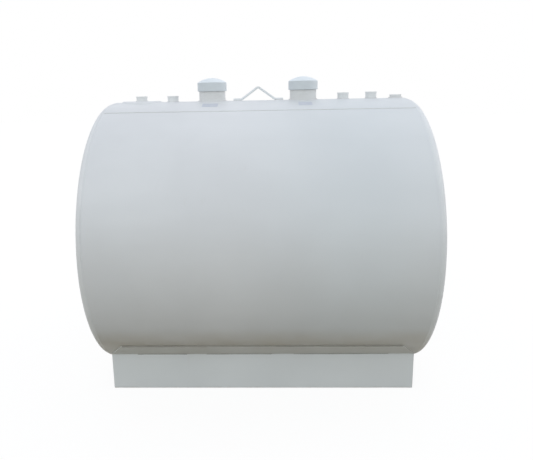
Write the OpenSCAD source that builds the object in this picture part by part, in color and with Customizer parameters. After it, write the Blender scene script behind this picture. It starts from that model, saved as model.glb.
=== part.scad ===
// Double-wall horizontal fuel tank on two skids, with emergency vents,
// plugged fittings and a lifting lug along the crest.
// X runs along the tank, the front faces -Y, Z is up and the ground is Z = 0.

/* [Tank] */
// Outer diameter of the outer wall
tank_d = 1650; // [1300:2:2000]
// Overall length of the tank, over its heads
tank_l = 1906; // [1700:1:3000]
// Gap between the belly and the ground
belly_gap = 40; // [25:1:80]

/* [Walls] */
// Plate thickness of the outer wall and its heads
outer_t = 3.5; // [2.5:0.1:5]
// Plate thickness of the inner tank and its heads
inner_t = 4.8; // [3:0.1:8]
// Gap between the two walls round the cylinder
wall_gap = 9; // [8:1:40]
// Gap between the two walls at each end
end_gap = 40; // [25:1:80]
// Width of the top plate round the curve, edge to edge
top_plate_w = 602; // [300:2:800]
// Overlap of the top plate on the wrap along each long edge
lap_w = 30; // [15:1:50]
// Width of the joggle that lifts the top plate over the wrap
joggle_w = 7; // [5:1:15]
// Width of each spacer hoop between the walls
hoop_w = 30; // [15:1:60]

/* [Heads] */
// Outside radius of the bend round each head
knuckle_r = 42; // [20:1:60]
// Lap of each outer head's flange inside the end of its wall
head_lap = 10; // [8:1:20]
// Straight part of each outer head's flange that shows past the end of its wall
head_show = 6; // [3:1:12]
// Depth of each inner head inside the end of its shell
head_recess = 6; // [3:1:20]
// Straight length of the flange of each inner head
inner_flange_l = 12; // [5:1:20]

/* [Skid] */
// Angle round the tank from its lowest line to the outer face of each skid
skid_angle = 39.8; // [35:0.1:45]
// Distance of the skids from each end of the tank
skid_inset = 61; // [0:1:100]
// Plate thickness of the skids
skid_t = 6; // [4:0.5:10]
// Width of the bottom flange of each skid
skid_flange_w = 90; // [50:5:150]
// Outside bend radius along the bottom of each skid
skid_bend_r = 12; // [11:1:20]
// Plate thickness of the cross saddles
saddle_t = 8; // [5:0.5:16]
// Distance of each saddle from the end of the skids
saddle_inset = 160; // [60:5:400]
// Cope at the lower corners of each saddle
saddle_cope = 16; // [12:1:22]

/* [Wear pads] */
// Plate thickness of the wear pads
pad_t = 6; // [4:0.5:10]
// Reach of each pad above the top edge of the skid, round the curve
pad_above = 144; // [100:2:220]
// Reach of each pad below the top edge of the skid, round the curve
pad_below = 60; // [30:2:100]
// Length clipped off the upper corners of each pad
pad_clip = 92; // [20:1:160]

/* [Top row] */
// Shift of the row of vents and fittings from mid-length
row_shift = -8; // [-30:1:30]

/* [Vents] */
// Distance of each vent from the middle of the row, as a share of half the tank's length
vent_share = 0.3009; // [0.28:0.0001:0.34]
// Outside diameter of the vent neck
neck_d = 165; // [140:1:190]
// Wall thickness of the nozzle under each vent
nozzle_t = 7; // [4:0.5:12]
// Height of the nozzle above the crest
nozzle_h = 34; // [25:1:45]
// Wall thickness of the vent body
vent_body_t = 12; // [8:0.5:16]
// Height of the lid's seat above the crest
seat_h = 105; // [100:1:115]
// Radial gap between the neck and the lid's skirt
skirt_gap = 5.5; // [5:0.1:9]
// Wall thickness of the lid
lid_t = 3.5; // [2.5:0.1:6]
// Height of the lid's skirt
skirt_h = 55; // [48:1:70]
// Drop of the skirt's lower edge below the seat
skirt_drop = 44; // [25:1:50]
// Height of the lid's dome above the skirt
dome_h = 27; // [15:1:40]
// Lift of the lid from its seat
lid_lift = 40; // [20:1:40]
// Diameter of the lid's guide stem
stem_d = 16; // [10:1:22]
// Radial clearance of the stem in its guide
stem_gap = 0.5; // [0.3:0.1:1]
// Outside diameter of the guide hub
hub_d = 34; // [30:1:44]
// Height of the guide hub
hub_h = 24; // [16:1:30]
// Distance of the guide hub below the seat
hub_drop = 24; // [18:1:30]
// Thickness of the three ribs that carry the hub
rib_t = 6; // [4:0.5:10]
// Diameter of the stop collar at the foot of the stem
collar_d = 30; // [28:1:40]
// Thickness of the stop collar
collar_t = 8; // [5:1:12]
// Gap left between the collar and the hub at full lift
collar_gap = 5; // [5:0.5:10]

/* [Fittings] */
// Outside diameter of the couplings
coupling_d = 68; // [55:1:80]
// Wall thickness of the couplings
coupling_t = 7; // [5:0.5:10]
// Distance of the inner fittings from the middle of the row, as a share of half the tank's length
inner_fitting_share = 0.5647; // [0.52:0.0001:0.61]
// Distance of the left outer fitting from mid-length, as a share of half the tank's length
left_outer_share = 0.7828; // [0.75:0.0001:0.88]
// Distance of the right outer fitting from mid-length, as a share of half the tank's length
right_outer_share = 0.7395; // [0.72:0.0001:0.8]
// Gap between the end fitting and the flange of the right head
end_fitting_gap = 3; // [2:1:20]
// Height of the left outer fitting above the crest
left_outer_h = 37; // [24:1:60]
// Height of the left inner fitting above the crest
left_inner_h = 36; // [24:1:60]
// Height of the right inner fitting above the crest
right_inner_h = 39; // [24:1:60]
// Height of the right outer fitting above the crest
right_outer_h = 41; // [24:1:60]
// Height of the right end fitting above the crest
right_end_h = 21; // [18:1:60]
// Diameter of the reinforcing pad round the left outer fitting
fitting_pad_d = 233; // [120:1:250]
// Plate thickness of the reinforcing pad
fitting_pad_t = 6.5; // [4:0.5:10]
// Overhang of each plug's head round its coupling
plug_lip = 2; // [1:0.5:6]
// Thickness of each plug's head
plug_head_t = 9; // [6:0.5:14]
// Depth of each plug's body in its coupling
plug_depth = 16; // [8:1:20]
// Width of the square socket in each plug
socket_w = 22; // [12:1:28]
// Depth of the square socket
socket_depth = 5; // [3:0.5:12]

/* [Lifting lug] */
// Shift of the lug from mid-length
lug_shift = -4; // [-20:1:20]
// Diameter of the bent bar
lug_bar_d = 14; // [10:1:24]
// Clear span between the feet
lug_span = 210; // [160:2:240]
// Length of each foot
lug_foot_l = 52; // [30:1:60]
// Height of the meeting point of the legs above the feet, on centre lines
lug_h = 76; // [50:1:110]
// Bend radius at the apex, on the centre line
lug_apex_r = 14; // [13:1:24]
// Bend radius at the feet, on the centre line
lug_foot_r = 24; // [14:1:40]

/* [Fits] */
// Gap at curved seats and round parts in their holes
seat_gap = 0.3; // [0.2:0.05:0.6]

/* [Hidden] */
$fn = 96;

// Facets of the large circles that shape the skids and saddles
belly_fn = 384;

// Sides of the bent bar, and steps along each of its bends
lug_sides = 16;
lug_bend_steps = 4;

// Overshoot of cutting tools past the faces that they cut
cut = 1;
white_paint = [0.86, 0.88, 0.90];
grey_paint = [0.66, 0.68, 0.69];
bare_steel = [0.55, 0.56, 0.57];

// Radii of the walls
outer_r = tank_d / 2;
outer_in_r = outer_r - outer_t;
inner_r = outer_in_r - wall_gap;
inner_in_r = inner_r - inner_t;
axis_z = belly_gap + outer_r;
crest_z = axis_z + outer_r;
half_l = tank_l / 2;
wall_half_l = half_l - knuckle_r - head_show;
inner_half_l = half_l - outer_t - end_gap;

// Angles round the tank axis: 0 at the rear, 90 at the crest, 180 at the front
crest_a = 90;
front_a = 180;
full_turn = 360;
function arc_angle(arc, r) = arc / r * 180 / PI;
lap_r = outer_r + seat_gap;
plate_edge_a = arc_angle(top_plate_w / 2, lap_r);
wrap_edge_a = plate_edge_a - arc_angle(lap_w, lap_r);
joggle_out_a = wrap_edge_a - arc_angle(seat_gap, outer_r);
joggle_in_a = joggle_out_a - arc_angle(joggle_w, outer_r);

// Skids and wear pads
pad_in_r = outer_r + seat_gap;
pad_out_r = pad_in_r + pad_t;
// Width across the outer faces of the skids, each half to a whole millimetre
skid_w = 2 * floor(pad_out_r * sin(skid_angle));
skid_l = tank_l - 2 * skid_inset;
skid_top_a = acos(skid_w / 2 / pad_out_r);
pad_top_a = skid_top_a - arc_angle(pad_above, pad_out_r);
pad_bottom_a = skid_top_a + arc_angle(pad_below, pad_out_r);

// Vents, with heights above the crest
neck_r = neck_d / 2;
vent_bore_r = neck_r - vent_body_t;
skirt_in_r = neck_r + skirt_gap;
lid_r = skirt_in_r + lid_t;
skirt_z = seat_h - skirt_drop;
dome_z = skirt_z + skirt_h;
dome_base_r = lid_r - lid_t;
dome_r = (dome_base_r * dome_base_r + dome_h * dome_h) / (2 * dome_h);
hub_z = seat_h - hub_drop - hub_h;
collar_z = hub_z - lid_lift - collar_gap - collar_t;
left_vent_x = row_shift - vent_share * half_l;
right_vent_x = row_shift + vent_share * half_l;

// Places of the fittings along the tank
left_outer_x = -left_outer_share * half_l;
left_inner_x = row_shift - inner_fitting_share * half_l;
right_inner_x = row_shift + inner_fitting_share * half_l;
right_outer_x = right_outer_share * half_l;
right_end_x = wall_half_l - head_lap - end_fitting_gap - coupling_d / 2;
primary_fitting_xs = [left_outer_x, left_inner_x, right_inner_x, right_outer_x];
// The hoops stand midway between the fittings of each side
left_hoop_x = (left_outer_x + left_inner_x) / 2;
right_hoop_x = (right_inner_x + right_outer_x) / 2;

// Reach of pipes past the wall that they enter
entry = wall_gap / 4;
// Foot of a pipe of diameter d that has passed a wall of inside radius r, to a whole millimetre
function foot_z(r, d) = floor(axis_z + sqrt(r * r - d * d / 4) - entry);

// Shared shapes

// Puts a drawing of the tank's cross-section upright, with its height along X
module on_tank_axis() {
    translate([0, 0, axis_z]) rotate([90, 0, 90]) children();
}

// Plate rolled round the tank axis between two angles and two places along X
module rolled_plate(r, t, from_a, to_a, from_x, to_x) {
    on_tank_axis() translate([0, 0, from_x]) rotate([0, 0, from_a])
        rotate_extrude(angle = to_a - from_a) translate([r, 0]) square([t, to_x - from_x]);
}

// Plain cylinder on the tank axis
module round_on_axis(r, from_x, to_x) {
    on_tank_axis() translate([0, 0, from_x]) cylinder(r = r, h = to_x - from_x);
}

// Closed ring on the tank axis
module ring_on_axis(r_in, r_out, from_x, to_x) {
    difference() {
        round_on_axis(r_out, from_x, to_x);
        round_on_axis(r_in, from_x - cut, to_x + cut);
    }
}

// Upright hole through the crest
module crest_hole(x, d) {
    translate([x, 0, axis_z]) cylinder(d = d + 2 * seat_gap, h = tank_d);
}

// Upright pipe between two heights
module upright_pipe(x, d, t, from_z, to_z) {
    translate([x, 0, from_z]) difference() {
        cylinder(d = d, h = to_z - from_z);
        translate([0, 0, -cut]) cylinder(d = d - 2 * t, h = to_z - from_z + 2 * cut);
    }
}

// Half section of a flat cup with a rounded corner
module cup_section(r, bend_r, h) {
    intersection() {
        square([r, h]);
        union() {
            translate([0, bend_r]) square([r, h]);
            square([r - bend_r, h]);
            translate([r - bend_r, bend_r]) circle(bend_r);
        }
    }
}

// Flat head with a flange, outer face at X = face_x; side is -1 at the left and 1 at the right
module flanged_head(r, t, depth, face_x, side) {
    translate([face_x, 0, axis_z]) rotate([0, -90 * side, 0]) rotate_extrude() difference() {
        cup_section(r, knuckle_r, depth);
        translate([0, t]) cup_section(r - t, knuckle_r - t, depth);
    }
}

// Outer wall

module outer_wrap() {
    color(white_paint)
        rolled_plate(outer_in_r, outer_t, crest_a + wrap_edge_a, crest_a + full_turn - wrap_edge_a,
                     -wall_half_l, wall_half_l);
}

// Plate between the edges of the wrap, joggled outwards along both edges to lap over it
module top_plate() {
    blank_t = lap_r + outer_t - outer_in_r;
    end_x = wall_half_l + cut;
    color(white_paint) difference() {
        rolled_plate(outer_in_r, blank_t, crest_a - plate_edge_a, crest_a + plate_edge_a,
                     -wall_half_l, wall_half_l);
        rolled_plate(outer_r, blank_t, crest_a - joggle_in_a, crest_a + joggle_in_a, -end_x, end_x);
        for (side = [0, 1]) mirror([0, side, 0])
            rolled_plate(outer_in_r - cut, lap_r - outer_in_r + cut,
                         crest_a + joggle_out_a, crest_a + 2 * plate_edge_a, -end_x, end_x);
        for (x = [left_vent_x, right_vent_x]) crest_hole(x, neck_d);
        for (x = concat(primary_fitting_xs, [right_end_x])) crest_hole(x, coupling_d);
    }
}

module outer_head(side) {
    depth = knuckle_r + head_show + head_lap;
    color(white_paint) flanged_head(outer_in_r - seat_gap, outer_t, depth, side * half_l, side);
}

// Inner tank

module inner_shell() {
    color(bare_steel) difference() {
        ring_on_axis(inner_in_r, inner_r, -inner_half_l, inner_half_l);
        crest_hole(left_vent_x, neck_d);
        for (x = primary_fitting_xs) crest_hole(x, coupling_d);
    }
}

module inner_head(side) {
    depth = knuckle_r + inner_flange_l;
    color(bare_steel)
        flanged_head(inner_in_r - seat_gap, inner_t, depth, side * (inner_half_l - head_recess), side);
}

module spacer_hoop(middle_x) {
    color(bare_steel) ring_on_axis(inner_r + seat_gap, outer_in_r - seat_gap,
                                   middle_x - hoop_w / 2, middle_x + hoop_w / 2);
}

// Skids, saddles and wear pads; side 0 is the front and 1 the rear

// Corner of a bent plate, filled
module bent_corner(w, h, r) {
    translate([r, 0]) square([w - r, h]);
    translate([0, r]) square([w, h - r]);
    translate([r, r]) circle(r);
}

module skid(side) {
    color(grey_paint) mirror([0, side, 0]) difference() {
        translate([-skid_l / 2, -skid_w / 2, 0]) rotate([90, 0, 90]) linear_extrude(skid_l) difference() {
            bent_corner(skid_flange_w, axis_z, skid_bend_r);
            translate([skid_t, skid_t]) bent_corner(skid_flange_w, axis_z, skid_bend_r - skid_t);
        }
        round_on_axis(pad_out_r + seat_gap, -tank_l, tank_l, $fn = belly_fn);
    }
}

// Rolled pad with its upper corners clipped
module wear_pad(side) {
    skid_top_z = axis_z - pad_out_r * sin(skid_top_a);
    top_z = axis_z - pad_in_r * sin(pad_top_a);
    end_x = skid_l / 2;
    color(grey_paint) mirror([0, side, 0]) intersection() {
        rolled_plate(pad_in_r, pad_t, front_a + pad_top_a, front_a + pad_bottom_a, -end_x, end_x);
        rotate([90, 0, 0]) linear_extrude(tank_d) polygon([
            [-end_x, 0], [end_x, 0], [end_x, skid_top_z], [end_x - pad_clip, top_z],
            [pad_clip - end_x, top_z], [-end_x, skid_top_z]
        ]);
    }
}

// Cross plate between the skids, cut to the belly and to the lower part of both pads
module saddle(side) {
    half_w = skid_w / 2 - skid_t;
    floor_y = skid_t - axis_z;
    pad_edge = pad_in_r * cos(pad_bottom_a) - seat_gap;
    from_x = side * (skid_l / 2 - saddle_inset) - saddle_t / 2;
    color(grey_paint) on_tank_axis()
        translate([0, 0, from_x]) linear_extrude(saddle_t) difference() {
            translate([-half_w, floor_y]) square([2 * half_w, axis_z - skid_t]);
            circle(pad_in_r, $fn = belly_fn);
            for (rear = [0, 1]) mirror([rear, 0]) {
                intersection() {
                    circle(pad_out_r + seat_gap, $fn = belly_fn);
                    translate([-outer_r, -axis_z]) square([outer_r - pad_edge, axis_z]);
                }
                translate([-half_w, floor_y]) circle(saddle_cope);
            }
        }
}

// Emergency vents

module vent_nozzle(x, bottom_z) {
    color(white_paint) upright_pipe(x, neck_d, nozzle_t, bottom_z, crest_z + nozzle_h);
}

module vent_body(x) {
    color(white_paint) {
        upright_pipe(x, neck_d, vent_body_t, crest_z + nozzle_h, crest_z + seat_h);
        translate([x, 0, crest_z + hub_z]) difference() {
            union() {
                cylinder(d = hub_d, h = hub_h);
                for (turn = [90, 210, 330]) rotate([0, 0, turn]) translate([0, -rib_t / 2, 0])
                    cube([vent_bore_r + vent_body_t / 2, rib_t, hub_h]);
            }
            translate([0, 0, -cut]) cylinder(d = stem_d + 2 * stem_gap, h = hub_h + 2 * cut);
        }
    }
}

// Half section of the lid's outside, with rounded skirt edges
module lid_outline() {
    translate([0, skirt_z + lid_t]) square([lid_r, skirt_h - 2 * lid_t]);
    translate([0, skirt_z]) square([lid_r - lid_t, skirt_h]);
    for (z = [skirt_z + lid_t, dome_z - lid_t]) translate([lid_r - lid_t, z]) circle(lid_t);
    translate([0, dome_z - cut]) square([dome_base_r, cut]);
    intersection() {
        translate([0, dome_z + dome_h - dome_r]) circle(dome_r);
        translate([0, dome_z]) square([dome_base_r, dome_h]);
    }
}

// Half section of the hollow under the dome, inside the seat
module dome_hollow() {
    intersection() {
        translate([0, dome_z + dome_h - dome_r]) circle(dome_r - lid_t);
        translate([0, seat_h - cut]) square([vent_bore_r, dome_z + dome_h]);
    }
}

module vent_lid(x) {
    color(white_paint) translate([x, 0, crest_z]) rotate_extrude() {
        difference() {
            lid_outline();
            translate([0, skirt_z - cut]) square([skirt_in_r, skirt_drop + cut]);
            dome_hollow();
        }
        translate([0, collar_z]) square([stem_d / 2, dome_z + dome_h - lid_t / 2 - collar_z]);
        translate([0, collar_z]) square([collar_d / 2, collar_t]);
    }
}

// Fittings and plugs

module fitting(x, h, bottom_z) {
    color(white_paint) upright_pipe(x, coupling_d, coupling_t, bottom_z, crest_z + h - plug_head_t);
}

// Round plate on the crest, rolled to the tank
module fitting_pad() {
    half_a = arc_angle(fitting_pad_d, outer_r);
    color(white_paint) difference() {
        intersection() {
            rolled_plate(outer_r + seat_gap, fitting_pad_t, crest_a - half_a, crest_a + half_a,
                         left_outer_x - fitting_pad_d, left_outer_x + fitting_pad_d);
            translate([left_outer_x, 0, axis_z]) cylinder(d = fitting_pad_d, h = tank_d);
        }
        crest_hole(left_outer_x, coupling_d);
    }
}

module plug(x, h) {
    color(white_paint) translate([x, 0, crest_z + h - plug_head_t]) difference() {
        union() {
            cylinder(d = coupling_d + 2 * plug_lip, h = plug_head_t);
            translate([0, 0, -plug_depth])
                cylinder(d = coupling_d - 2 * coupling_t - 2 * seat_gap, h = plug_depth + plug_head_t / 2);
        }
        translate([-socket_w / 2, -socket_w / 2, plug_head_t - socket_depth])
            cube([socket_w, socket_w, socket_depth + cut]);
    }
}

// Lifting lug

// Stations along a bend of the bar: place along X, height and direction at each
function bend_line(centre, r, from_a, turn) = [
    for (i = [0 : lug_bend_steps])
        let (a = from_a + turn * i / lug_bend_steps)
        [centre.x + r * cos(a), centre.y + r * sin(a), a + 90 * sign(turn)]
];

// Ring of points round the bar at a station
function bar_ring(station) = [
    for (i = [0 : lug_sides - 1])
        let (turn = 360 / lug_sides * i, side = lug_bar_d / 2 * cos(turn))
        [station.x - side * sin(station.z), lug_bar_d / 2 * sin(turn), station.y + side * cos(station.z)]
];

// One bar bent three times: foot, leg, apex, leg, foot
module lifting_lug() {
    leg_a = atan2(lug_h, lug_span / 2);
    foot_x = lug_span / 2 + lug_foot_r * tan(leg_a / 2);
    line = concat(
        [[-lug_span / 2 - lug_foot_l, 0, 0]],
        bend_line([-foot_x, lug_foot_r], lug_foot_r, -90, leg_a),
        bend_line([0, lug_h - lug_apex_r / cos(leg_a)], lug_apex_r, 90 + leg_a, -2 * leg_a),
        bend_line([foot_x, lug_foot_r], lug_foot_r, -90 - leg_a, leg_a),
        [[lug_span / 2 + lug_foot_l, 0, 0]]
    );
    last = (len(line) - 1) * lug_sides;
    walls = [
        for (ring = [0 : len(line) - 2], i = [0 : lug_sides - 1])
            let (next = (i + 1) % lug_sides, at = ring * lug_sides)
            [at + i, at + next, at + lug_sides + next, at + lug_sides + i]
    ];
    ends = [[for (i = [lug_sides - 1 : -1 : 0]) i], [for (i = [0 : lug_sides - 1]) last + i]];
    color(white_paint) translate([lug_shift, 0, crest_z + seat_gap + lug_bar_d / 2])
        polyhedron([for (station = line) each bar_ring(station)], concat(walls, ends), convexity = 4);
}

outer_wrap();
top_plate();
outer_head(-1);  // outer_head_left
outer_head(1);  // outer_head_right
inner_shell();
inner_head(-1);  // inner_head_left
inner_head(1);  // inner_head_right
spacer_hoop(left_hoop_x);  // spacer_hoop_left
spacer_hoop(right_hoop_x);  // spacer_hoop_right
skid(0);  // skid_front
skid(1);  // skid_rear
saddle(-1);  // saddle_left
saddle(1);  // saddle_right
wear_pad(0);  // wear_pad_front
wear_pad(1);  // wear_pad_rear
vent_nozzle(left_vent_x, foot_z(inner_in_r, neck_d));  // vent_nozzle_left
vent_nozzle(right_vent_x, foot_z(outer_in_r, neck_d));  // vent_nozzle_right
vent_body(left_vent_x);  // vent_body_left
vent_body(right_vent_x);  // vent_body_right
vent_lid(left_vent_x);  // vent_lid_left
vent_lid(right_vent_x);  // vent_lid_right
fitting(left_outer_x, left_outer_h, foot_z(inner_in_r, coupling_d));  // fitting_left_outer
fitting(left_inner_x, left_inner_h, foot_z(inner_in_r, coupling_d));  // fitting_left_inner
fitting(right_inner_x, right_inner_h, foot_z(inner_in_r, coupling_d));  // fitting_right_inner
fitting(right_outer_x, right_outer_h, foot_z(inner_in_r, coupling_d));  // fitting_right_outer
fitting(right_end_x, right_end_h, foot_z(outer_in_r, coupling_d));  // fitting_right_end
fitting_pad();
plug(left_outer_x, left_outer_h);  // plug_left_outer
plug(left_inner_x, left_inner_h);  // plug_left_inner
plug(right_inner_x, right_inner_h);  // plug_right_inner
plug(right_outer_x, right_outer_h);  // plug_right_outer
plug(right_end_x, right_end_h);  // plug_right_end
lifting_lug();
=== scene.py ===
"""Looks of the double-wall fuel tank: paints, welds, blank films, floor, light and camera."""
import math
import random

import bpy
from mathutils import Matrix
from mathutils import Vector


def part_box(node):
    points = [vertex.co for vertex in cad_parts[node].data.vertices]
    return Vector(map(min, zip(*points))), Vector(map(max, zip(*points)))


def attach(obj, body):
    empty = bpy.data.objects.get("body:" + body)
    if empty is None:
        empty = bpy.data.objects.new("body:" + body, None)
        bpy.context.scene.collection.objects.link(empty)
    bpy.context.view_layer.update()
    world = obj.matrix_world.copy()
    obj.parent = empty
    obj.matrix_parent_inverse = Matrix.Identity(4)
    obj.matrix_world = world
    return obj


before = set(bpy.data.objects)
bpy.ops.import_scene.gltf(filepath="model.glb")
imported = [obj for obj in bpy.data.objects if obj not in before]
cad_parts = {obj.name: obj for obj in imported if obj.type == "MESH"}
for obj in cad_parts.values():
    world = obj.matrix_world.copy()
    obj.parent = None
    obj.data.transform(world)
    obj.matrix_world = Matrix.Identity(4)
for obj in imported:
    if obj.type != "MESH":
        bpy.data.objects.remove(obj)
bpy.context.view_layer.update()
scene = bpy.context.scene
rng = random.Random(7)

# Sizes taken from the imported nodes, in metres
wrap_low, wrap_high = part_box("outer_wrap")
head_low, head_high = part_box("outer_head_right")
skid_low, skid_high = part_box("skid_front")
pad_low, pad_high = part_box("wear_pad_front")
plate_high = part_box("top_plate")[1]
lug_low, lug_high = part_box("lifting_lug")
HALF_L = wrap_high.x
RADIUS = (wrap_high.y - wrap_low.y) / 2
HEAD_R = (head_high.y - head_low.y) / 2
AXIS_Z = wrap_low.z + RADIUS
CREST_Z = AXIS_Z + RADIUS

# Plate thicknesses of the outer wall and of the wear pads
WALL_T = 0.0035
PAD_T = 0.006

# Angle from the crest to the edges of the top plate
LAP_A = math.asin(plate_high.y / (RADIUS + WALL_T))

# Sides of the tank, positive to the front, and its ends, positive to the right
SIDES = (("front", 1), ("rear", -1))
ENDS = (("left", -1), ("right", 1))


def on_shell(x, angle, lift):
    """Point at some height over the outer wall; the angle is from the crest, positive to the front."""
    r = RADIUS + lift
    return Vector((x, -r * math.sin(angle), AXIS_Z + r * math.cos(angle)))


def turns(count):
    """Even angles round a full turn."""
    return [2 * math.pi * i / count for i in range(count)]


def upright(node):
    """Place along the tank, and radius, of an upright round node."""
    low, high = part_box(node)
    return (low.x + high.x) / 2, (high.x - low.x) / 2


# Camera, fitted to the photograph
IMAGE_W = 533
IMAGE_H = 460
FOCAL_PX = 506.0
CENTRE_PX = (249.56, 198.15)
CAMERA_AT = Vector((0.0432, -3.9651, 1.0648)) * RADIUS + Vector((0, 0, AXIS_Z))
YAW = math.radians(-1.867)
PITCH = math.radians(11.863)
ROLL = math.radians(-1.082)
SENSOR_MM = 36.0
CLIP_END = 100.0


def add_camera():
    """Camera at the photographer's place, with the photograph's off-centre crop."""
    up = Vector((0, 0, 1))
    level = Vector((math.sin(YAW), math.cos(YAW), 0))
    side = Vector((math.cos(YAW), -math.sin(YAW), 0))
    ahead = level * math.cos(PITCH) - up * math.sin(PITCH)
    over = up * math.cos(PITCH) + level * math.sin(PITCH)
    right = side * math.cos(ROLL) + over * math.sin(ROLL)
    top = over * math.cos(ROLL) - side * math.sin(ROLL)
    turn = Matrix((right, top, -ahead)).transposed()
    data = bpy.data.cameras.new("photo_camera")
    data.sensor_fit = "HORIZONTAL"
    data.sensor_width = SENSOR_MM
    data.lens = FOCAL_PX / IMAGE_W * SENSOR_MM
    data.shift_x = (IMAGE_W / 2 - CENTRE_PX[0]) / IMAGE_W
    data.shift_y = (CENTRE_PX[1] - IMAGE_H / 2) / IMAGE_W
    data.clip_end = CLIP_END
    camera = bpy.data.objects.new("photo_camera", data)
    camera.matrix_world = Matrix.Translation(CAMERA_AT) @ turn.to_4x4()
    scene.collection.objects.link(camera)
    scene.camera = camera


add_camera()


# Materials

class Finish:
    """One procedural material, with short calls for the nodes that it needs."""

    def __init__(self, name):
        self.material = bpy.data.materials.new(name)
        self.material.use_nodes = True
        self.tree = self.material.node_tree
        self.shader = self.tree.nodes["Principled BSDF"]
        self.place = self.tree.nodes.new("ShaderNodeTexCoord").outputs["Object"]
        self.normal = self.tree.nodes.new("ShaderNodeNewGeometry").outputs["Normal"]
        self.bump_normal = None

    def feed(self, socket, colour):
        """Links the output of a node, or sets a plain colour."""
        if isinstance(colour, tuple):
            socket.default_value = (*colour, 1.0)
        else:
            self.tree.links.new(colour, socket)

    def noise(self, scale, detail=3.0, stretch=(1, 1, 1), rough=0.5):
        """Cloudy pattern over the piece; a larger scale or stretch makes it finer."""
        mapping = self.tree.nodes.new("ShaderNodeMapping")
        mapping.inputs["Scale"].default_value = stretch
        self.tree.links.new(self.place, mapping.inputs["Vector"])
        texture = self.tree.nodes.new("ShaderNodeTexNoise")
        self.tree.links.new(mapping.outputs["Vector"], texture.inputs["Vector"])
        texture.inputs["Scale"].default_value = scale
        texture.inputs["Detail"].default_value = detail
        texture.inputs["Roughness"].default_value = rough
        return texture.outputs["Fac"]

    def component(self, vector, letter):
        """One of the three numbers of a vector."""
        split = self.tree.nodes.new("ShaderNodeSeparateXYZ")
        self.tree.links.new(vector, split.inputs["Vector"])
        return split.outputs[letter]

    def axis(self, letter):
        """Place along one axis, in metres."""
        return self.component(self.place, letter)

    def facing(self, letter):
        """How far the surface looks along one axis, from -1 to 1."""
        return self.component(self.normal, letter)

    def span(self, value, low, high, out_low=0.0, out_high=1.0):
        """Maps the span low to high onto the output span, clamped and smooth."""
        node = self.tree.nodes.new("ShaderNodeMapRange")
        node.interpolation_type = "SMOOTHSTEP"
        self.tree.links.new(value, node.inputs["Value"])
        node.inputs["From Min"].default_value = low
        node.inputs["From Max"].default_value = high
        node.inputs["To Min"].default_value = out_low
        node.inputs["To Max"].default_value = out_high
        return node.outputs["Result"]

    def math(self, operation, first, second):
        """Sum or product of two values."""
        node = self.tree.nodes.new("ShaderNodeMath")
        node.operation = operation
        self.tree.links.new(first, node.inputs[0])
        self.tree.links.new(second, node.inputs[1])
        return node.outputs["Value"]

    def mix(self, share, first, second):
        """First colour, with a share of the second over it."""
        node = self.tree.nodes.new("ShaderNodeMix")
        node.data_type = "RGBA"
        self.tree.links.new(share, node.inputs["Factor"])
        self.feed(node.inputs["A"], first)
        self.feed(node.inputs["B"], second)
        return node.outputs["Result"]

    def bump(self, height, depth, strength):
        """Adds one layer of relief; depth is in metres."""
        node = self.tree.nodes.new("ShaderNodeBump")
        node.inputs["Strength"].default_value = strength
        node.inputs["Distance"].default_value = depth
        self.tree.links.new(height, node.inputs["Height"])
        if self.bump_normal is not None:
            self.tree.links.new(self.bump_normal, node.inputs["Normal"])
        self.bump_normal = node.outputs["Normal"]

    def done(self, colour, roughness, metallic=0.0):
        """Joins colour, roughness and relief to the shader, and returns the material."""
        self.tree.links.new(colour, self.shader.inputs["Base Color"])
        self.tree.links.new(roughness, self.shader.inputs["Roughness"])
        self.shader.inputs["Metallic"].default_value = metallic
        self.tree.links.new(self.bump_normal, self.shader.inputs["Normal"])
        return self.material


# Tone of settled dirt, also used as painted shade on the underside, and of the painted shade of the wall
# towards the right end
DUST_AND_SHADE = (0.54, 0.515, 0.455)
RIGHT_SHADE = (0.65, 0.71, 0.735)


def underside_shade_and_dust(f, belly_shade):
    """Share of painted shade, partly dirt, on the wall: faint on the sides, much more on faces that look
    down, most near the bottom.
    """
    slope = f.facing("Z")
    side_shade = f.span(slope, 0.40, 0.0, out_high=0.13 * belly_shade)
    low = f.span(slope, -0.44, -0.58, out_high=0.65 * belly_shade)
    edge = f.span(slope, -0.56, -0.615, out_high=0.25 * belly_shade)
    whole = f.math("ADD", side_shade, f.math("ADD", low, edge))
    patches = f.noise(scale=4.0, detail=5.0)
    return f.math("MULTIPLY", whole, f.span(patches, 0.25, 0.75, out_low=0.60))


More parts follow.
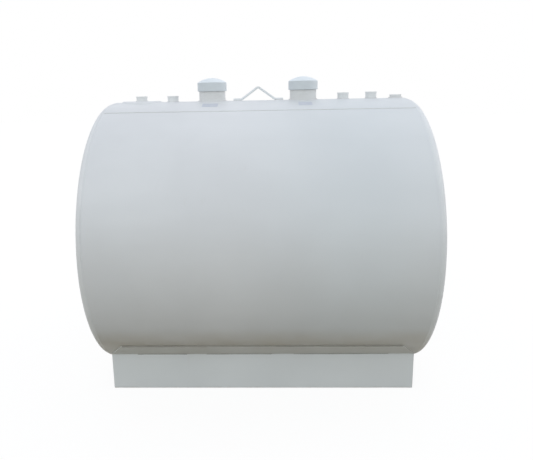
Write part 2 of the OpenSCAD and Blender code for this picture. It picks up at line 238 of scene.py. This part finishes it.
def white_paint(name, tone, shade, dust_and_shade=DUST_AND_SHADE, belly_shade=0.0, splash=0.0, peel=1.0, lit_top=None, right_shade=None):
    """Sprayed satin paint: uneven cover, dusty runs and specks, painted shade below, slight plate waves,
    orange peel.

    The underside shade is the strength of the painted shade, partly dirt, on the underside, the splash is
    the height of mud at the foot, the peel is the strength of the orange peel, the lit top is the tone
    painted on faces that look up as painted light, and the right shade is the painted shade towards the
    right end.
    """
    f = Finish(name)
    cover = f.noise(scale=1.7, detail=4.0)
    colour = f.mix(f.span(cover, 0.35, 0.68), tone, shade)
    bands = f.noise(scale=1.0, stretch=(0.5, 7.0, 7.0))
    colour = f.mix(f.span(bands, 0.42, 0.70, out_high=0.35), colour, shade)
    streaks = f.noise(scale=1.0, detail=5.0, stretch=(38.0, 38.0, 1.1), rough=0.6)
    patches = f.noise(scale=3.1, detail=2.0)
    runs = f.math("MULTIPLY", f.span(streaks, 0.60, 0.80), f.span(patches, 0.48, 0.66, out_high=0.16))
    colour = f.mix(runs, colour, dust_and_shade)
    specks = f.noise(scale=160.0)
    colour = f.mix(f.span(specks, 0.70, 0.80, out_high=0.30), colour, dust_and_shade)
    # Painted shade: the wall darkens towards its right end, most a little before the end
    if right_shade is not None:
        rise = f.span(f.axis("X"), -0.25, 0.60, out_high=0.42)
        fall = f.span(f.axis("X"), 0.55, 0.95, out_low=1.0, out_high=0.60)
        colour = f.mix(f.math("MULTIPLY", rise, fall), colour, right_shade)
    # Painted shade on the underside, mixed with some dirt: the tone darkens on faces that look down
    if belly_shade > 0.0:
        colour = f.mix(underside_shade_and_dust(f, belly_shade), colour, dust_and_shade)
    # Painted light: faces that look up take a lighter tone
    if lit_top is not None:
        colour = f.mix(f.span(f.facing("Z"), 0.05, 0.75, out_high=0.9), colour, lit_top)
    if splash > 0.0:
        foot = f.span(f.axis("Z"), splash, 0.0)
        blots = f.noise(scale=22.0, detail=5.0, stretch=(1, 1, 0.6))
        mud = f.math("MULTIPLY", foot, f.span(blots, 0.35, 0.72, out_low=0.05, out_high=0.75))
        colour = f.mix(mud, colour, dust_and_shade)
    f.bump(f.noise(scale=2.6, detail=2.0, stretch=(1, 1.3, 1.3)), depth=0.006, strength=0.30)
    f.bump(f.noise(scale=420.0, detail=2.0), depth=0.0004, strength=0.22 * peel)
    f.bump(f.noise(scale=1500.0, detail=1.0), depth=0.0002, strength=0.12 * peel)
    gloss = f.noise(scale=9.0, detail=4.0)
    return f.done(colour, f.span(gloss, 0.30, 0.72, out_low=0.40, out_high=0.56))


def mill_plate(name):
    """Bare plate with mill scale and some rust, for the inner tank."""
    dark_scale = (0.20, 0.205, 0.215)
    pale_scale = (0.34, 0.34, 0.34)
    rust = (0.23, 0.115, 0.06)
    f = Finish(name)
    scales = f.noise(scale=3.4, detail=6.0, rough=0.62)
    colour = f.mix(f.span(scales, 0.38, 0.64), dark_scale, pale_scale)
    blooms = f.noise(scale=8.0, detail=6.0, rough=0.66)
    colour = f.mix(f.span(blooms, 0.62, 0.74, out_high=0.7), colour, rust)
    f.bump(f.noise(scale=240.0, detail=4.0), depth=0.0005, strength=0.3)
    gloss = f.noise(scale=14.0, detail=4.0)
    return f.done(colour, f.span(gloss, 0.3, 0.7, out_low=0.38, out_high=0.62), metallic=0.85)


def crevice_shadow(name):
    """Painted shadow of an open joint: a dark strip laid over the joint."""
    dark = (0.085, 0.080, 0.070)
    pale = (0.17, 0.16, 0.14)
    f = Finish(name)
    patches = f.noise(scale=60.0, detail=4.0)
    colour = f.mix(f.span(patches, 0.35, 0.68), dark, pale)
    f.bump(f.noise(scale=700.0), depth=0.0006, strength=0.5)
    gloss = f.noise(scale=90.0, detail=2.0)
    return f.done(colour, f.span(gloss, 0.3, 0.7, out_low=0.75, out_high=0.95))


def blank_film(name):
    """Faded blank vinyl, slightly uneven, with dusty specks."""
    blue = (0.58, 0.615, 0.69)
    faded = (0.64, 0.67, 0.735)
    specks = (0.62, 0.61, 0.58)
    f = Finish(name)
    fade = f.noise(scale=26.0, detail=4.0)
    colour = f.mix(f.span(fade, 0.35, 0.68), blue, faded)
    grains = f.noise(scale=210.0)
    colour = f.mix(f.span(grains, 0.66, 0.78, out_high=0.4), colour, specks)
    f.bump(f.noise(scale=90.0, detail=2.0), depth=0.0003, strength=0.3)
    gloss = f.noise(scale=40.0)
    return f.done(colour, f.span(gloss, 0.3, 0.7, out_low=0.30, out_high=0.46))


# Each paint has a main tone and the shade of its thinner patches
tank_paint = white_paint("tank_white", (0.78, 0.797, 0.81), (0.738, 0.754, 0.767), belly_shade=1.0, right_shade=RIGHT_SHADE)
# The heads take a lighter copy of the wall's paint, which stands for painted light on the heads
lit_head_paint = white_paint("lit_head_white", (0.83, 0.84, 0.85), (0.785, 0.80, 0.81), belly_shade=1.0, right_shade=RIGHT_SHADE)
lid_paint = white_paint("lid_white", (0.69, 0.735, 0.755), (0.64, 0.685, 0.71), lit_top=(0.83, 0.89, 0.93))
neck_paint = white_paint("neck_white", (0.76, 0.765, 0.755), (0.705, 0.71, 0.70))
fitting_paint = white_paint("fitting_white", (0.80, 0.81, 0.80), (0.74, 0.75, 0.745))
lug_paint = white_paint("lug_white", (0.82, 0.845, 0.85), (0.755, 0.78, 0.785))
skid_paint = white_paint("skid_white", (0.765, 0.79, 0.79), (0.72, 0.745, 0.745), splash=0.016, peel=1.6)
pad_paint = white_paint("pad_white", (0.76, 0.77, 0.755), (0.71, 0.715, 0.695), belly_shade=0.35)
seam_paint = white_paint("seam_white", (0.83, 0.835, 0.835), (0.77, 0.775, 0.77))
weld_paint = white_paint("weld_white", (0.76, 0.765, 0.765), (0.69, 0.69, 0.685), peel=2.2)
# The pad's end and top welds are painted darker: painted shade in the crease under the tank, with some dirt
shaded_end_weld_paint = white_paint("shaded_end_weld_white", (0.60, 0.60, 0.575), (0.54, 0.54, 0.515))
shaded_pad_weld_paint = white_paint("shaded_pad_weld_white", (0.35, 0.335, 0.30), (0.27, 0.26, 0.23),
                             dust_and_shade=(0.28, 0.26, 0.22), peel=2.2)
inner_plate = mill_plate("inner_mill_plate")
gap_shadow = crevice_shadow("joint_painted_shadow")
decal_film = blank_film("blank_film")

# Finish of each node by the start of its name; the first that fits holds
NODE_FINISH = (
    ("outer_head", lit_head_paint), ("outer_wrap", tank_paint), ("top_plate", tank_paint),
    ("inner_", inner_plate), ("spacer_", inner_plate),
    ("skid_", skid_paint), ("saddle_", skid_paint), ("wear_pad", pad_paint),
    ("vent_lid", lid_paint), ("vent_", neck_paint),
    ("fitting_pad", tank_paint), ("fitting_", fitting_paint), ("plug_", fitting_paint),
    ("lifting_lug", lug_paint),
)
for name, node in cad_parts.items():
    for start, finish in NODE_FINISH:
        if name.startswith(start):
            node.data.materials.clear()
            node.data.materials.append(finish)
            break


# Mesh helpers

def piece(name, verts, faces, material):
    """Makes a smooth mesh, gives it its finish and lets it ride on the tank."""
    mesh = bpy.data.meshes.new(name)
    mesh.from_pydata(verts, [], faces)
    mesh.update()
    mesh.polygons.foreach_set("use_smooth", [True] * len(mesh.polygons))
    mesh.materials.append(material)
    made = bpy.data.objects.new(name, mesh)
    scene.collection.objects.link(made)
    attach(made, "tank")
    return made


def spaced(path, step, closed):
    """Points at an even step along a path."""
    corners = path + path[:1] if closed else path
    lengths = [(b - a).length for a, b in zip(corners, corners[1:])]
    total = sum(lengths)
    count = max(2, round(total / step))
    points = []
    leg = 0
    done = 0.0
    for i in range(count if closed else count + 1):
        want = total * i / count
        while leg < len(lengths) - 1 and done + lengths[leg] < want:
            done += lengths[leg]
            leg += 1
        share = min(1.0, (want - done) / lengths[leg])
        points.append(corners[leg].lerp(corners[leg + 1], share))
    return points


WELD_SIDES = 8
WELD_PITCH = 0.005
LONG_PITCH = 0.012

# Ripples of a bead: steps in each, and the shares of its size at the foot and from there to the top
RIPPLE_STEPS = 3
RIPPLE_FOOT = 0.93
RIPPLE_RISE = 0.14

# Slow changes of a bead: share of its size, turn for each step, and times the bead's own random start
SLOW_WAVES = ((0.09, 0.043, 1), (0.05, 0.171, 2))

# Open ends of a bead: share of its section at the very end, and its sizes to the full section
END_SHARE = 0.12
END_SIZES = 1.6

# A path that rises more steeply than this takes its sides from another axis
STEEP = 0.8


def weld(name, path, size, material, closed=False, pitch=WELD_PITCH):
    """Rippled weld bead of a given radius along a path."""
    step = pitch / RIPPLE_STEPS
    line = spaced(path, step, closed)
    count = len(line)
    wander = rng.uniform(0, 100)
    section = turns(WELD_SIDES)
    verts = []
    for i, point in enumerate(line):
        before = line[i - 1] if i > 0 or closed else point
        after = line[(i + 1) % count] if i < count - 1 or closed else point
        along = (after - before).normalized()
        ahead = Vector((0, 0, 1)) if abs(along.z) < STEEP else Vector((0, 1, 0))
        first = along.cross(ahead).normalized()
        second = along.cross(first)
        ripple = RIPPLE_FOOT + RIPPLE_RISE * (i % RIPPLE_STEPS) / (RIPPLE_STEPS - 1)
        slow = 1.0 + sum(share * math.sin(i * turn + wander * times) for share, turn, times in SLOW_WAVES)
        reach = size * ripple * slow
        if not closed:
            to_end = min(i, count - 1 - i) * step
            reach *= math.sqrt(min(1.0, END_SHARE + to_end / (END_SIZES * size)))
        for a in section:
            verts.append(point + (first * math.cos(a) + second * math.sin(a)) * reach)
    faces = []
    for i in range(count if closed else count - 1):
        here = i * WELD_SIDES
        there = (i + 1) % count * WELD_SIDES
        for k in range(WELD_SIDES):
            n = (k + 1) % WELD_SIDES
            faces.append((here + k, here + n, there + n, there + k))
    if not closed:
        faces.append(tuple(reversed(range(WELD_SIDES))))
        faces.append(tuple(range((count - 1) * WELD_SIDES, count * WELD_SIDES)))
    piece(name, verts, faces, material)


def skin(name, rings, material):
    """Ring with a given cross-section: one closed line of points for each corner of the section."""
    count = len(rings[0])
    verts = [point for ring in rings for point in ring]
    faces = []
    for k in range(len(rings)):
        here = k * count
        there = (k + 1) % len(rings) * count
        for i in range(count):
            n = (i + 1) % count
            faces.append((here + i, here + n, there + n, there + i))
    piece(name, verts, faces, material)


# Seam welds just past the edges of the top plate, to a little short of the wall's ends
SEAM_BEAD = 0.0022
SEAM_LIFT = 0.0012
SEAM_PITCH = 0.006
SEAM_X = HALF_L - 0.002
SEAM_A = LAP_A + 0.0004
for word, sign in SIDES:
    path = [on_shell(x, sign * SEAM_A, SEAM_LIFT) for x in (-SEAM_X, SEAM_X)]
    weld("seam_weld_" + word, path, SEAM_BEAD, seam_paint, pitch=SEAM_PITCH)

# Section of the filled weld between the wall and a head: distance past the wall's end, and radius
HEAD_FILL = (
    (-0.0045, RADIUS - 0.00300), (-0.0045, RADIUS - 0.00018), (-0.0030, RADIUS - 0.00002),
    (-0.0012, RADIUS + 0.00018), (0.0010, RADIUS + 0.00010), (0.0035, RADIUS - 0.00060),
    (0.0065, RADIUS - 0.00175), (0.0095, RADIUS - 0.00290), (0.0120, HEAD_R - 0.00035),
    (0.0145, HEAD_R - 0.00130), (0.0060, HEAD_R - 0.00300),
)
RIPPLED_POINTS = range(3, 8)
FILL_STEPS = 2400
FILL_RIPPLE = 0.00012
FILL_RIPPLE_STEPS = 4


def head_ring(x, r, ripple):
    """Circle round the tank's axis, with ripples of some height."""
    ring = []
    for i, a in enumerate(turns(FILL_STEPS)):
        reach = r + ripple * (i % FILL_RIPPLE_STEPS) / (FILL_RIPPLE_STEPS - 1)
        ring.append(Vector((x, reach * math.sin(a), AXIS_Z + reach * math.cos(a))))
    return ring


for word, sign in ENDS:
    rings = []
    for k, (past, r) in enumerate(HEAD_FILL):
        ripple = FILL_RIPPLE if k in RIPPLED_POINTS else 0.0
        rings.append(head_ring(sign * (HALF_L + past), r, ripple))
    skin("head_weld_" + word, rings if sign < 0 else rings[::-1], tank_paint)

CREST_STEPS = 120


def crest_ring(x, r, lift):
    """Line where an upright pipe meets the crest, or a surface at some height over it."""
    ring = []
    for a in turns(CREST_STEPS):
        y = r * math.sin(a)
        z = AXIS_Z + math.sqrt((RADIUS + lift) ** 2 - y * y)
        ring.append(Vector((x + r * math.cos(a), y, z)))
    return ring


# Welds at the feet of the upright pipes; a bead's line stands out from its pipe by a share of its size
VENT_BEAD = 0.0060
FITTING_BEAD = 0.0040
END_BEAD = 0.0075
BEAD_OUT = 0.2
PIPES = (
    ("vent_nozzle_left", VENT_BEAD, "vent_paint"),
    ("vent_nozzle_right", VENT_BEAD, "vent_paint"),
    ("fitting_left_outer", FITTING_BEAD, "fitting_paint"),
    ("fitting_left_inner", FITTING_BEAD, "fitting_paint"),
    ("fitting_right_inner", FITTING_BEAD, "fitting_paint"),
    ("fitting_right_outer", FITTING_BEAD, "fitting_paint"),
    ("fitting_right_end", END_BEAD, "fitting_paint"),
)
disc_x, disc_r = upright("fitting_pad")
disc_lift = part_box("fitting_pad")[1].z - CREST_Z
for name, size, slot in PIPES:
    x, r = upright(name)
    lift = disc_lift if name == "fitting_left_outer" else 0.0
    weld(name + "_weld", crest_ring(x, r + size * BEAD_OUT, lift), size, weld_paint, closed=True)

# Section of the filled weld round the pad under a fitting: radius, and height above the crest
DISC_FILL = (
    (disc_r + 0.0130, -0.0008), (disc_r + 0.0085, 0.0012), (disc_r + 0.0038, 0.0040),
    (disc_r - 0.0005, disc_lift + 0.0002), (disc_r - 0.0040, disc_lift - 0.0005), (disc_r - 0.0030, -0.0010),
)
skin("fitting_pad_weld", [crest_ring(disc_x, r, lift) for r, lift in DISC_FILL], tank_paint)

# Turned lines round the vent necks, at heights above the crest
NECK_LINES = (0.018, 0.034, 0.051)
NECK_STEPS = 96
LINE_SIZE = 0.0011
for word in ("left", "right"):
    x, r = upright("vent_nozzle_" + word)
    for i, height in enumerate(NECK_LINES):
        z = CREST_Z + height
        ring = [Vector((x + r * math.cos(a), r * math.sin(a), z)) for a in turns(NECK_STEPS)]
        name = f"neck_line_{word}_{i + 1}"
        weld(name, ring, LINE_SIZE, neck_paint, closed=True, pitch=LONG_PITCH)

# Welds along both sides of the lug's feet
LUG_BEAD = 0.0048
LUG_BEAD_Z = CREST_Z + 0.0015
LUG_FOOT_L = 0.048
bar_r = (lug_high.y - lug_low.y) / 2
for word, start in (("left", lug_low.x), ("right", lug_high.x - LUG_FOOT_L)):
    for side, sign in SIDES:
        path = [Vector((x, -sign * bar_r, LUG_BEAD_Z)) for x in (start, start + LUG_FOOT_L)]
        weld("lug_weld_" + word + "_" + side, path, LUG_BEAD, weld_paint)

# Stitch welds at the top of each skid, by their ends along the tank, and dark strips between them as the
# painted shadow of the open joint
STITCHES = ((-0.885, -0.743), (-0.437, -0.333), (0.067, 0.182), (0.750, 0.885))
STITCH_BEAD = 0.0038
JOINT_SIZE = 0.0030
JOINT_LIFT = 0.001
JOINT_END = 0.004
BEHIND_FACE = 0.0015
skid_top = skid_high.z
for word, sign in SIDES:
    y = sign * (skid_low.y + BEHIND_FACE)
    for i, ends in enumerate(STITCHES):
        path = [Vector((x, y, skid_top)) for x in ends]
        weld(f"stitch_weld_{word}_{i + 1}", path, STITCH_BEAD, skid_paint)
    for i, (one, two) in enumerate(zip(STITCHES, STITCHES[1:])):
        path = [Vector((x, y, skid_top + JOINT_LIFT)) for x in (one[1] + JOINT_END, two[0] - JOINT_END)]
        weld(f"joint_shadow_line_{word}_{i + 1}", path, JOINT_SIZE, gap_shadow, pitch=LONG_PITCH)

# Edge welds along the clipped ends and the top of each pad; their darker paint is painted shade under the
# tank, with some dirt
PAD_BEAD = 0.0044
PAD_BEAD_LIFT = 0.0028
PAD_CLIP = 0.092
pad_top_a = math.pi / 2 + math.asin((AXIS_Z - pad_high.z) / RADIUS)
skid_top_a = math.pi / 2 + math.asin((AXIS_Z - skid_top) / (RADIUS + PAD_T))
for word, sign in SIDES:
    top_line = []
    for end, low_x, top_x in (("left", pad_low.x, pad_low.x + PAD_CLIP),
                              ("right", pad_high.x, pad_high.x - PAD_CLIP)):
        foot = on_shell(low_x, sign * skid_top_a, PAD_BEAD_LIFT)
        corner = on_shell(top_x, sign * pad_top_a, PAD_BEAD_LIFT)
        weld(f"pad_end_weld_{word}_{end}", [foot, corner], PAD_BEAD, shaded_end_weld_paint)
        top_line.append(corner)
    weld("pad_weld_" + word, top_line, PAD_BEAD, shaded_pad_weld_paint)

# Blank films in front of the vents: ends along the tank, and angles from the crest
FILM_ENDS = (("left", -0.340, -0.245), ("right", 0.239, 0.321))
FILM_FROM_A = math.radians(10.1)
FILM_TO_A = math.radians(15.3)
FILM_W = (FILM_TO_A - FILM_FROM_A) * RADIUS
FILM_LIFT = 0.0003
FILM_T = 0.0004
FILM_CORNER = 0.006
CORNER_STEPS = 6

# Rings of a film's mesh, as shares of its outline
FILM_RINGS = (1.0, 0.66, 0.33)


def film_outline(from_x, to_x):
    """Rounded rectangle: places along the tank, and distances down the wall from the upper edge."""
    left = from_x + FILM_CORNER
    right = to_x - FILM_CORNER
    upper = FILM_CORNER
    lower = FILM_W - FILM_CORNER
    outline = []
    for x, w, start in ((right, lower, 0), (left, lower, 90), (left, upper, 180), (right, upper, 270)):
        for i in range(CORNER_STEPS + 1):
            a = math.radians(start + 90 * i / CORNER_STEPS)
            outline.append((x + FILM_CORNER * math.cos(a), w + FILM_CORNER * math.sin(a)))
    return outline


def film(name, from_x, to_x):
    """Thin rounded sheet that lies on the wall, with crisp edges."""
    outline = film_outline(from_x, to_x)
    mid_x = (from_x + to_x) / 2
    mid_w = FILM_W / 2
    verts = []
    for level in (FILM_LIFT, FILM_LIFT + FILM_T):
        for share in FILM_RINGS:
            for x, w in outline:
                at_x = mid_x + (x - mid_x) * share
                at_w = mid_w + (w - mid_w) * share
                verts.append(on_shell(at_x, FILM_FROM_A + at_w / RADIUS, level))
    n = len(outline)
    level_size = n * len(FILM_RINGS)
    faces = []
    for first, order in ((0, -1), (level_size, 1)):
        for ring in range(len(FILM_RINGS) - 1):
            a = first + ring * n
            for i in range(n):
                j = (i + 1) % n
                faces.append((a + i, a + j, a + n + j, a + n + i)[::order])
        faces.append(tuple(range(first + level_size - n, first + level_size))[::order])
    for i in range(n):
        j = (i + 1) % n
        faces.append((i, j, level_size + j, level_size + i))
    made = piece(name, verts, faces, decal_film)
    made.data.polygons.foreach_set("use_smooth", [False] * len(made.data.polygons))


for word, from_x, to_x in FILM_ENDS:
    film("blank_film_" + word, from_x, to_x)


# Floor, light and background

def coloured(tree, kind, colour, strength=None):
    """Output of a shader node of one colour."""
    node = tree.nodes.new(kind)
    node.inputs["Color"].default_value = (*colour, 1)
    if strength is not None:
        node.inputs["Strength"].default_value = strength
    return node.outputs[0]


def mixed(tree, first, second):
    """Node that mixes two shaders; its factor is set or linked by the caller."""
    node = tree.nodes.new("ShaderNodeMixShader")
    tree.links.new(first, node.inputs[1])
    tree.links.new(second, node.inputs[2])
    return node


def seen_by(tree, rays):
    """Output that is 1 for some kinds of rays and 0 for all others."""
    path = tree.nodes.new("ShaderNodeLightPath")
    seen = path.outputs[rays[0]]
    for ray in rays[1:]:
        either = tree.nodes.new("ShaderNodeMath")
        either.operation = "MAXIMUM"
        tree.links.new(seen, either.inputs[0])
        tree.links.new(path.outputs[ray], either.inputs[1])
        seen = either.outputs["Value"]
    return seen


WHITE = (1, 1, 1)
FLOOR_SIZE = 30.0
FLOOR_Z = -0.001
FLOOR_DULL = (0.17, 0.145, 0.085)
FLOOR_PALE = (0.96, 0.96, 0.96)
FLOOR_GLOW = 1.02
GLOW_SHARE = 0.90
SKY = (0.945, 0.975, 1.05)
SKY_STRENGTH = 0.74


def add_floor():
    """Pale floor that keeps a faint shadow; the light that it throws back is that of dull ground."""
    corners = ((-1, -1), (1, -1), (1, 1), (-1, 1))
    mesh = bpy.data.meshes.new("floor")
    mesh.from_pydata([(x * FLOOR_SIZE, y * FLOOR_SIZE, FLOOR_Z) for x, y in corners], [], [(0, 1, 2, 3)])
    floor = bpy.data.objects.new("floor", mesh)
    scene.collection.objects.link(floor)
    material = bpy.data.materials.new("pale_floor")
    material.use_nodes = True
    tree = material.node_tree
    tree.nodes.clear()
    dull = coloured(tree, "ShaderNodeBsdfDiffuse", FLOOR_DULL)
    pale = coloured(tree, "ShaderNodeBsdfDiffuse", FLOOR_PALE)
    glow = coloured(tree, "ShaderNodeEmission", WHITE, FLOOR_GLOW)
    white = mixed(tree, pale, glow)
    white.inputs["Fac"].default_value = GLOW_SHARE
    choice = mixed(tree, dull, white.outputs["Shader"])
    seen = seen_by(tree, ("Is Camera Ray", "Is Glossy Ray", "Is Transmission Ray"))
    tree.links.new(seen, choice.inputs["Fac"])
    out = tree.nodes.new("ShaderNodeOutputMaterial")
    tree.links.new(choice.outputs["Shader"], out.inputs["Surface"])
    mesh.materials.append(material)


def add_world():
    """Soft overcast light, with a white background."""
    world = bpy.data.worlds.new("overcast")
    scene.world = world
    world.use_nodes = True
    tree = world.node_tree
    tree.nodes.clear()
    sky = coloured(tree, "ShaderNodeBackground", SKY, SKY_STRENGTH)
    white = coloured(tree, "ShaderNodeBackground", WHITE, 1.0)
    choice = mixed(tree, sky, white)
    seen = seen_by(tree, ("Is Camera Ray", "Is Transmission Ray"))
    tree.links.new(seen, choice.inputs["Fac"])
    out = tree.nodes.new("ShaderNodeOutputWorld")
    tree.links.new(choice.outputs["Shader"], out.inputs["Surface"])


# Soft lights: strength, azimuth from the front, elevation and spread in degrees, and colour
SOFTBOXES = (
    ("front_softbox", 0.68, -6, 24, 70, (0.92, 1.0, 0.975)),
    ("rear_softbox", 0.40, 165, 25, 80, (1.0, 1.0, 1.0)),
    ("right_softbox", 0.70, 103, 6, 50, (1.0, 1.0, 0.98)),
    ("left_softbox", 0.15, -100, 25, 60, (0.97, 1.0, 1.0)),
)


def add_softbox(name, strength, azimuth, elevation, spread, colour):
    """Distant light with a wide spread, so that its shadows are soft."""
    data = bpy.data.lights.new(name, "SUN")
    data.energy = strength
    data.angle = math.radians(spread)
    data.color = colour
    sun = bpy.data.objects.new(name, data)
    az = math.radians(azimuth)
    el = math.radians(elevation)
    towards = Vector((math.sin(az) * math.cos(el), -math.cos(az) * math.cos(el), math.sin(el)))
    sun.rotation_euler = towards.to_track_quat("Z", "Y").to_euler()
    scene.collection.objects.link(sun)


add_floor()
add_world()
for softbox in SOFTBOXES:
    add_softbox(*softbox)
scene.view_settings.view_transform = "Standard"
